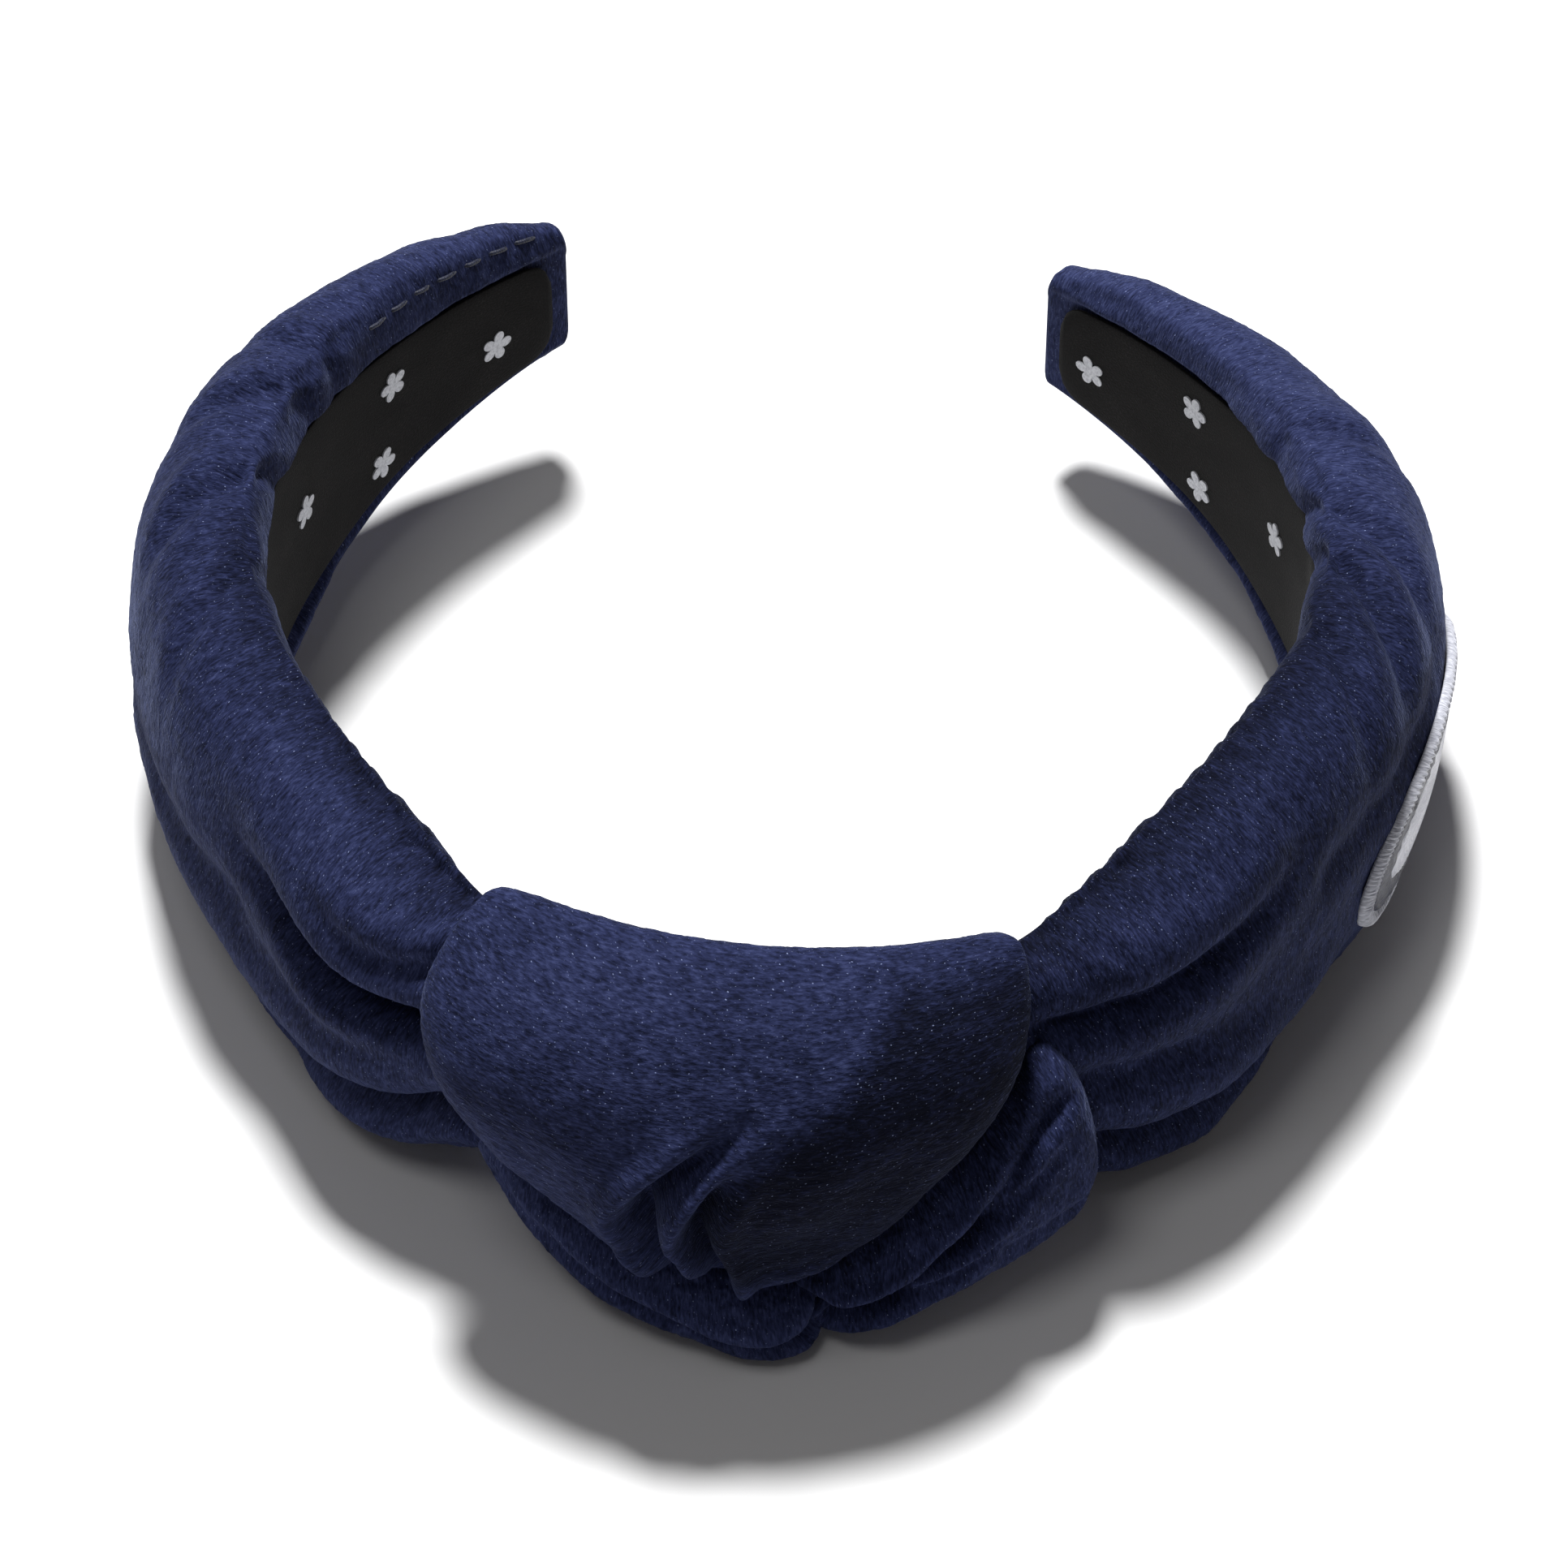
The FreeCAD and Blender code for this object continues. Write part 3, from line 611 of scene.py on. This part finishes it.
LEFT_LOOP = [
    (v(-34, 3, 21), v(-34, 3, 8), v(0, 5, 0), v(0, -4, 0)),
    (v(-29, 5, 20), v(-27.5, 5, 6), v(-1, 6.5, 0), v(0, -4, 0)),
    (v(-23, 8, 18), v(-21, 8.5, 3.4), v(-1, 7, 0), v(0, -5, 0)),
    (v(-15, 11, 15.5), v(-13, 12, 2), v(-0.5, 7.8, -0.5), v(0, -5, 0)),
    (v(-7.5, 13.6, 14), v(-6, 15, 1.6), v(0, 8, -1), v(0, -5, 0)),
    (v(-1.5, 15, 12.6), v(0, 17, 1.2), v(0, 8, -1), v(0, -5, 0)),
    (v(2.5, 15, 11.6), v(4, 16.6, 1.6), v(0.5, 7, -0.5), v(0, -5, 0)),
    (v(5, 13.5, 10), v(6, 14, 4), v(1.5, 3, -0.5), v(0, -3, 0)),
]
RIGHT_LOOP = [
    (v(33.4, 4, 29), v(34.2, 5, 12), v(0, 4, 0), v(0, -3, 0)),
    (v(32.8, 5, 34.5), v(34.4, 6.5, 8), v(0.8, 9.0, 0), v(0, -3, 0)),
    (v(30.6, 6.5, 36), v(32.6, 7.5, 6), v(1.0, 10.6, 0), v(0, -4, 0)),
    (v(27, 8, 33.5), v(28.8, 8.5, 5), v(1.2, 10.6, 0), v(0, -4, 0)),
    (v(22.6, 9.5, 29), v(24, 9.5, 4), v(1.2, 10.0, 0), v(0, -5, 0)),
    (v(17.5, 11, 24), v(18.4, 11.5, 3), v(1, 9.0, 0), v(0, -5, 0)),
    (v(12, 12.5, 19), v(12, 13, 2.5), v(0.5, 8.0, -0.5), v(0, -5, 0)),
    (v(7, 13, 15), v(7, 14, 2.4), v(0, 6.8, -0.5), v(0, -5, 0)),
    (v(3, 12.5, 12), v(3, 13, 4), v(-1, 4, -0.5), v(0, -4, 0)),
]
# Creases of a roll: the rows it passes, its place across in each (-1 left or upper edge, 1 right
# or lower), its depth, its half width, and the row where it has reached its depth.
WRAP_FOLDS = (
    ((3.8, 5.2, 6.2, 7.3, 8.5, 10, 11.4), (0.14, -0.04, -0.14, -0.22, -0.30, -0.42, -0.5), 5.4, 1.5,
     6.0),
    ((4.4, 6.0, 7.3, 9.0, 10.2, 11.6), (0.14, 0.05, 0.00, -0.04, -0.08, -0.10), 4.6, 1.2, 6.6),
    ((3.5, 6, 9), (-0.5, -0.6, -0.66), 0.8, 4.5, 5.5),
    ((3.5, 6, 9.5), (0.7, 0.62, 0.5), 0.7, 4.0, 5.5),
)
LEFT_FOLDS = (((0.5, 3, 6.8), (-0.2, 0.0, 0.3), 1.4, 1.2, 4.5),
              ((2.8, 5, 7), (0.5, 0.4, -0.3), 0.9, 1.2, 5))
RIGHT_FOLDS = (
    ((2.6, 5, 7.4), (-0.50, -0.3, 0.35), 2.6, 1.3, 5),
    ((3.6, 5.6, 7.9), (-0.1, 0.1, -0.2), 2.2, 1.2, 6),
    ((1, 2.5, 4.5), (0.5, 0.5, 0.2), 1.0, 2.2, 2.5),
    ((1.6, 2.5, 5), (-0.7, -0.75, -0.4), 1.6, 1.1, 2.6),
)


def roll(name, rows_given, folds, pile_tone_and_painted_light, rows=240, columns=280, shape=2.4, seed=1, grain=1.0):
    """A padded roll of velvet through rows of a section, with creases along it."""
    stops = np.concatenate([[0], np.cumsum([
        np.linalg.norm((b[0] + b[1] + 2 * b[2]) - (a[0] + a[1] + 2 * a[2])) / 2 + 2
        for a, b in zip(rows_given, rows_given[1:])])])
    stops = stops / stops[-1]
    share = np.linspace(0, 1, rows)
    one, two, front, behind = (follow(share, stops, [r[k] for r in rows_given]) for k in range(4))
    angle = np.linspace(-math.pi / 2, 1.5 * math.pi, 1441)
    c, s = np.cos(angle), np.sin(angle)
    across = np.sign(s) * np.abs(s) ** (2 / shape)
    through = np.sign(c) * np.abs(c) ** (2 / shape)
    grid, places, faces = [], [], []
    for i in range(rows):
        loop = ((one[i] + two[i]) / 2 + (two[i] - one[i]) / 2 * across[:, None]
                + front[i] * np.clip(through, 0, None)[:, None]
                + behind[i] * np.clip(-through, 0, None)[:, None])
        length = np.concatenate([[0], np.cumsum(np.linalg.norm(np.diff(loop, axis=0), axis=1))])
        even = np.linspace(0, length[-1], columns, endpoint=False)
        grid.append(np.stack([np.interp(even, length, loop[:, a]) for a in range(3)], -1))
        places.append(np.interp(even, length, across))
        faces.append(np.interp(even, length, through))
    local = np.array(grid)
    across = np.array(places)
    outer = smooth_step(np.array(faces) * 2.5 + 0.4)
    points = on_hoop(np.abs(local[..., 0]), local[..., 1], local[..., 2] - MID_HEIGHT, 1)
    points[..., 0] *= np.where(local[..., 0] < 0, -1, 1)
    half = np.linalg.norm(two - one, axis=1)[:, None] / 2
    push = np.zeros(across.shape)
    down = np.repeat(share[:, None], columns, 1)
    for number, (passes, line, depth, width, deepest) in enumerate(folds):
        passes = np.interp(passes, np.arange(len(stops)), stops)
        deepest = np.interp(deepest, np.arange(len(stops)), stops)
        first, last = passes[0], passes[-1]
        where = follow(down, passes, line)
        distance = (across - where) * half
        spot = np.stack([down * 50, across * 10], -1)
        distance = distance + 0.35 * noise(spot, 3.0, seed + number)
        show = smooth_step((down - first) / (deepest - first)) * smooth_step((last - down) / 0.04)
        push -= depth * show * np.exp(-(distance / width) ** 2)
        push += 0.35 * depth * show * np.exp(-((np.abs(distance) - 2 * width) / (1.1 * width)) ** 2)
    normals = grid_normals(points)
    if np.mean(np.sum(normals * (points - points.mean(1, keepdims=True)), -1)) < 0:
        normals = -normals
    push *= outer
    push += grain * (0.5 * noise(points, 14.0, seed) + 0.22 * noise(points, 5.0, seed + 1))
    push += noise(points, 0.8, 41) * 0.09 + noise(points, 0.45, 42) * 0.06
    points = points + normals * push[..., None]
    points[..., 2] = np.maximum(points[..., 2], 0.2 + 0.03 * np.minimum(points[..., 2], 0.2))
    # painted light and shade from the given function, plus random tone
    painted_light_and_tone_value = pile_tone_and_painted_light(down, across) + 0.18 * noise(points, 9.0, 60 + seed)
    piece = grid_piece(name, points, VELVET, pile_tone_and_painted_light=painted_light_and_tone_value)
    mesh = bmesh.new()
    mesh.from_mesh(piece.data)
    bmesh.ops.recalc_face_normals(mesh, faces=mesh.faces)
    mesh.to_mesh(piece.data)
    mesh.free()
    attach(piece, "crown")
    return piece


def wrap_painted_light_and_shade(down, across):
    """Painted light on the left, painted shade on the right of the ridge, painted light again at the lower
    end.
    """
    ridge = 0.42 - 0.55 * smooth_step((down - 0.25) / 0.5)
    dark = smooth_step((across - ridge) / 0.16) * smooth_step((down - 0.22) / 0.1)
    return 0.95 - 1.05 * dark * (1 - smooth_step((down - 0.78) / 0.12))


wrap = roll("knot_front_wrap_velvet", WRAP, WRAP_FOLDS, wrap_painted_light_and_shade, rows=300, columns=320, seed=2)
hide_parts("knot_front_wrap", "knot_filling")
# painted light: the left loop is lightened evenly; the right loop has painted shade towards its upper edge
# and painted light towards its lower edge
left_loop = roll("knot_left_loop_velvet", LEFT_LOOP, LEFT_FOLDS,
                 lambda down, across: 1.2 + 0 * down, shape=2.1, seed=5)
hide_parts("knot_left_loop")
right_loop = roll("knot_right_loop_velvet", RIGHT_LOOP, RIGHT_FOLDS,
                  lambda down, across: 0.95 + 0.2 * across, shape=2.2, seed=9)
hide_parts("knot_right_loop")

# ------------------------------------------------------------------ prints on the lining
def motif_outline(size, points=5, waist=0.42, steps=60):
    """A plain five-petalled flower, as offsets (along, up)."""
    angle = np.linspace(0, 2 * math.pi, steps, endpoint=False)
    wave = np.abs(np.cos(points / 2 * angle)) ** 0.7
    reach = size * (waist + (1 - waist) * wave)
    return reach * np.cos(angle), reach * np.sin(angle)


PRINTS = {-1: ((169, -1.5), (150, 5.5), (147, -7.0), (128, 2.0), (110, -7.0), (104, 8.0), (86, -1.0)),
          1: ((173, -1.0), (153, 6.0), (151, -7.0), (131, 1.5), (112, 8.0), (106, -7.0), (88, 1.0))}
for side in (-1, 1):
    vertices, faces = [], []
    for number, (run, up) in enumerate(PRINTS[side]):
        du, dv = motif_outline(2.5)
        turn = 0.5 * number
        along = du * math.cos(turn) - dv * math.sin(turn)
        upward = du * math.sin(turn) + dv * math.cos(turn)
        base = len(vertices)
        count = len(along)
        for out in (-LINING_FACE + 0.2, -LINING_FACE - 0.14):
            ring = on_hoop(run + along, np.full(count, out), up + upward, side)
            vertices.extend(ring.tolist())
            vertices.extend(on_hoop(np.array([float(run)]), np.array([out]), np.array([float(up)]),
                                    side).tolist())
        for layer, order in ((0, 1), (count + 1, -1)):
            for k in range(count):
                tri = [base + layer + k, base + layer + (k + 1) % count, base + layer + count]
                faces.append(tri[::order])
        for k in range(count):
            n = (k + 1) % count
            faces.append([base + k, base + count + 1 + k, base + count + 1 + n, base + n])
    mesh = bpy.data.meshes.new("lining_prints_" + WORD[side])
    mesh.from_pydata((np.array(vertices) * MM).tolist(), [], faces)
    work = bmesh.new()
    work.from_mesh(mesh)
    bmesh.ops.recalc_face_normals(work, faces=work.faces)
    work.to_mesh(mesh)
    work.free()
    mesh.materials.append(INK)
    piece = new_object("lining_prints_" + WORD[side], mesh)
    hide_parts("lining_print_" + WORD[side])
    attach(piece, WORD[side] + "_arm")


# ------------------------------------------------------------------ threads and the badge
def tube(points, radius, sides=8):
    """Rings of points around a line of points; radius is a number or one per point."""
    points = np.asarray(points, float)
    ahead = unit(np.gradient(points, axis=0))
    lift = np.where(np.abs(ahead[:, 2:3]) < 0.9, v(0, 0, 1), v(1, 0, 0))
    one = unit(np.cross(ahead, lift))
    two = np.cross(ahead, one)
    angle = np.linspace(0, 2 * math.pi, sides, endpoint=False)
    radius = np.broadcast_to(np.asarray(radius, float), len(points))
    return (points[:, None] + radius[:, None, None]
            * (one[:, None] * np.cos(angle)[None, :, None] + two[:, None] * np.sin(angle)[None, :, None]))


def join_pieces(name, parts):
    """One object from several, keeping the first one's material and UV map."""
    bpy.ops.object.select_all(action="DESELECT")
    for part in parts:
        part.select_set(True)
    bpy.context.view_layer.objects.active = parts[0]
    bpy.ops.object.join()
    parts[0].name = name
    parts[0].data.name = name
    return parts[0]


def sleeve_point(side, run, fraction):
    """A point and normal on a sleeve at a run and a share of the way round its section."""
    runs, _, _, points = sleeves[side]
    i = int(np.clip(np.searchsorted(runs, run), 2, len(runs) - 3))
    j = int(fraction * points.shape[1])
    down = points[i + 2, j] - points[i - 2, j]
    over = points[i, (j + 2) % points.shape[1]] - points[i, j - 2]
    normal = unit(np.cross(down, over)) * side
    return points[i, j], normal


stitches = []
for number in range(7):
    run = 146.0 + 4.6 * number
    line = []
    for k in range(7):
        spot, normal = sleeve_point(-1, run + 3.0 * k / 6, 0.79 - 0.003 * number)
        arch = math.sin(math.pi * k / 6)
        line.append(spot + normal * (0.45 * arch - 0.25))
    stitches.append(grid_piece("stitch_%d" % number, tube(line, 0.3), HEM_THREAD))
hem = join_pieces("hem_stitches_thread", stitches)
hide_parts("hem_stitches_left")
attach(hem, "left_arm")

PATCH_RUN, PATCH_Z = 99.0, -6.5
PATCH_LONG, PATCH_SHORT = 20.0, 12.0


def sleeve_skin(along, up, lift):
    """Points on the right sleeve's outer face, by run and height from the badge's middle."""
    runs, out, z, _ = sleeves[1]
    columns = out.shape[1]
    outer = slice(columns // 4, columns - columns // 4)
    run = PATCH_RUN + along
    height = PATCH_Z + up
    spot = np.clip((run - runs[0]) / (runs[1] - runs[0]), 0, len(runs) - 2.001)
    low = np.floor(spot).astype(int)
    part = spot - low
    first = np.array([np.interp(h, z[i, outer], out[i, outer]) for h, i in zip(height.ravel(), low.ravel())])
    second = np.array([np.interp(h, z[i, outer], out[i, outer])
                       for h, i in zip(height.ravel(), low.ravel() + 1)])
    reach = (first * (1 - part.ravel()) + second * part.ravel()).reshape(height.shape)
    return on_hoop(run, reach + lift, height, 1)


def oval(share, angle):
    return PATCH_LONG * share * np.cos(angle), PATCH_SHORT * share * np.sin(angle)


RING_WELD = 1e-7     # metres: joins a ring's first and last column
DISC_WELD = 2e-6     # metres: also closes a disc's middle


def badge_layer(name, inner, outer, lift, material, rings=14, steps=180, ribs=None):
    """A ring or disc of embroidery on the sleeve, as a closed slab."""
    shares = np.linspace(inner, outer, rings)
    angle = np.linspace(0, 2 * math.pi, steps, endpoint=False)
    share_grid, angle_grid = np.meshgrid(shares, angle, indexing="ij")
    along, up = oval(share_grid, angle_grid)
    rim = np.minimum((outer - share_grid), (share_grid - inner) if inner > 0 else 1.0)
    crown = np.sqrt(np.clip(rim / 0.035, 0, 1))
    relief = ribs(along, up, angle_grid) if ribs else 0.0
    upper = sleeve_skin(along, up, 0.35 + (lift - 0.35) * crown + relief * crown)
    lower = sleeve_skin(along, up, np.full(along.shape, 0.0))
    loops = np.concatenate([upper, lower[::-1]], 0)
    turned = np.transpose(loops, (1, 0, 2))
    turned = np.concatenate([turned, turned[:1]], 0)
    piece = grid_piece(name, turned, material, caps=False)
    work = bmesh.new()
    work.from_mesh(piece.data)
    weld = RING_WELD if inner > 0 else DISC_WELD
    bmesh.ops.remove_doubles(work, verts=work.verts, dist=weld)
    bmesh.ops.recalc_face_normals(work, faces=work.faces)
    work.to_mesh(piece.data)
    work.free()
    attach(piece, "right_arm")
    return piece


border_share = 1 - 2.2 / PATCH_LONG
band_share = 1 - 7.2 / PATCH_LONG
backing = badge_layer("badge_backing", 0.0, 1.0, 0.6, WHITE_THREAD)
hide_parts("patch_backing")
border = badge_layer("badge_border", border_share, 1.01, 1.25, WHITE_THREAD, steps=720,
                     ribs=lambda a, u, t: 0.16 * np.sin(t * 150))
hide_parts("patch_border")
navy = badge_layer("badge_band", band_share, border_share, 1.0, NAVY_THREAD, steps=480, rings=20,
                   ribs=lambda a, u, t: 0.14 * noise(np.stack([a, u], -1), 0.8, 51))
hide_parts("patch_band")
centre = badge_layer("badge_centre", 0.0, band_share, 0.85, SATIN, steps=240, rings=60,
                     ribs=lambda a, u, t: 0.07 * np.sin(a * 2 * math.pi / 0.9))
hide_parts("patch_centre")

# ------------------------------------------------------------------ floor, light and camera
floor_material = Nodes("floor_paper")
paper = floor_material.noise(floor_material.add("ShaderNodeTexCoord").outputs["Object"], 3.0, 2.0)
floor_material.link(floor_material.ramp(paper, [(0.2, (0.80, 0.80, 0.80)), (0.8, (0.84, 0.84, 0.84))]),
                    floor_material.shader.inputs["Base Color"])
floor_material.set(Roughness=0.9, Specular_IOR_Level=0.1)
plane = bpy.data.meshes.new("floor")
reach = 4.0
plane.from_pydata([(-reach, -reach, 0), (reach, -reach, 0), (reach, reach, 0), (-reach, reach, 0)], [],
                  [(0, 1, 2, 3)])
plane.materials.append(floor_material.material)
floor = new_object("floor", plane)

world = bpy.data.worlds.new("studio")
bpy.context.scene.world = world
world.use_nodes = True
world.node_tree.nodes["Background"].inputs["Color"].default_value = (1, 0.96, 0.97, 1)
world.node_tree.nodes["Background"].inputs["Strength"].default_value = 0.09


def area_light(name, place, target, size, power, colour=(1, 1, 1)):
    data = bpy.data.lights.new(name, "AREA")
    data.shape = "DISK"
    data.size = size
    data.energy = power
    data.color = colour
    lamp = bpy.data.objects.new(name, data)
    bpy.context.scene.collection.objects.link(lamp)
    lamp.location = place
    lamp.rotation_euler = (Vector(target) - Vector(place)).to_track_quat("-Z", "Y").to_euler()
    return lamp


AIM = (0.0, 0.05, 0.02)
area_light("key", (-0.10, 0.52, 1.24), AIM, 0.24, 29)
area_light("front", (-0.30, -0.32, 1.40), AIM, 0.55, 2.4)

AZIMUTH, ELEVATION, DISTANCE = 2.5, 50.0, 0.850
TARGET = Vector((0.0005, 0.049, 0.026))
az, el = math.radians(AZIMUTH), math.radians(ELEVATION)
back = Vector((math.sin(az) * math.cos(el), -math.cos(az) * math.cos(el), math.sin(el)))
camera_data = bpy.data.cameras.new("camera")
camera_data.sensor_width = 36.0
camera_data.lens = 154.6
camera = bpy.data.objects.new("camera", camera_data)
bpy.context.scene.collection.objects.link(camera)
camera.location = TARGET + back * DISTANCE
camera.rotation_euler = (-back).to_track_quat("-Z", "Y").to_euler()
bpy.context.scene.camera = camera
bpy.context.scene.view_settings.view_transform = "Standard"
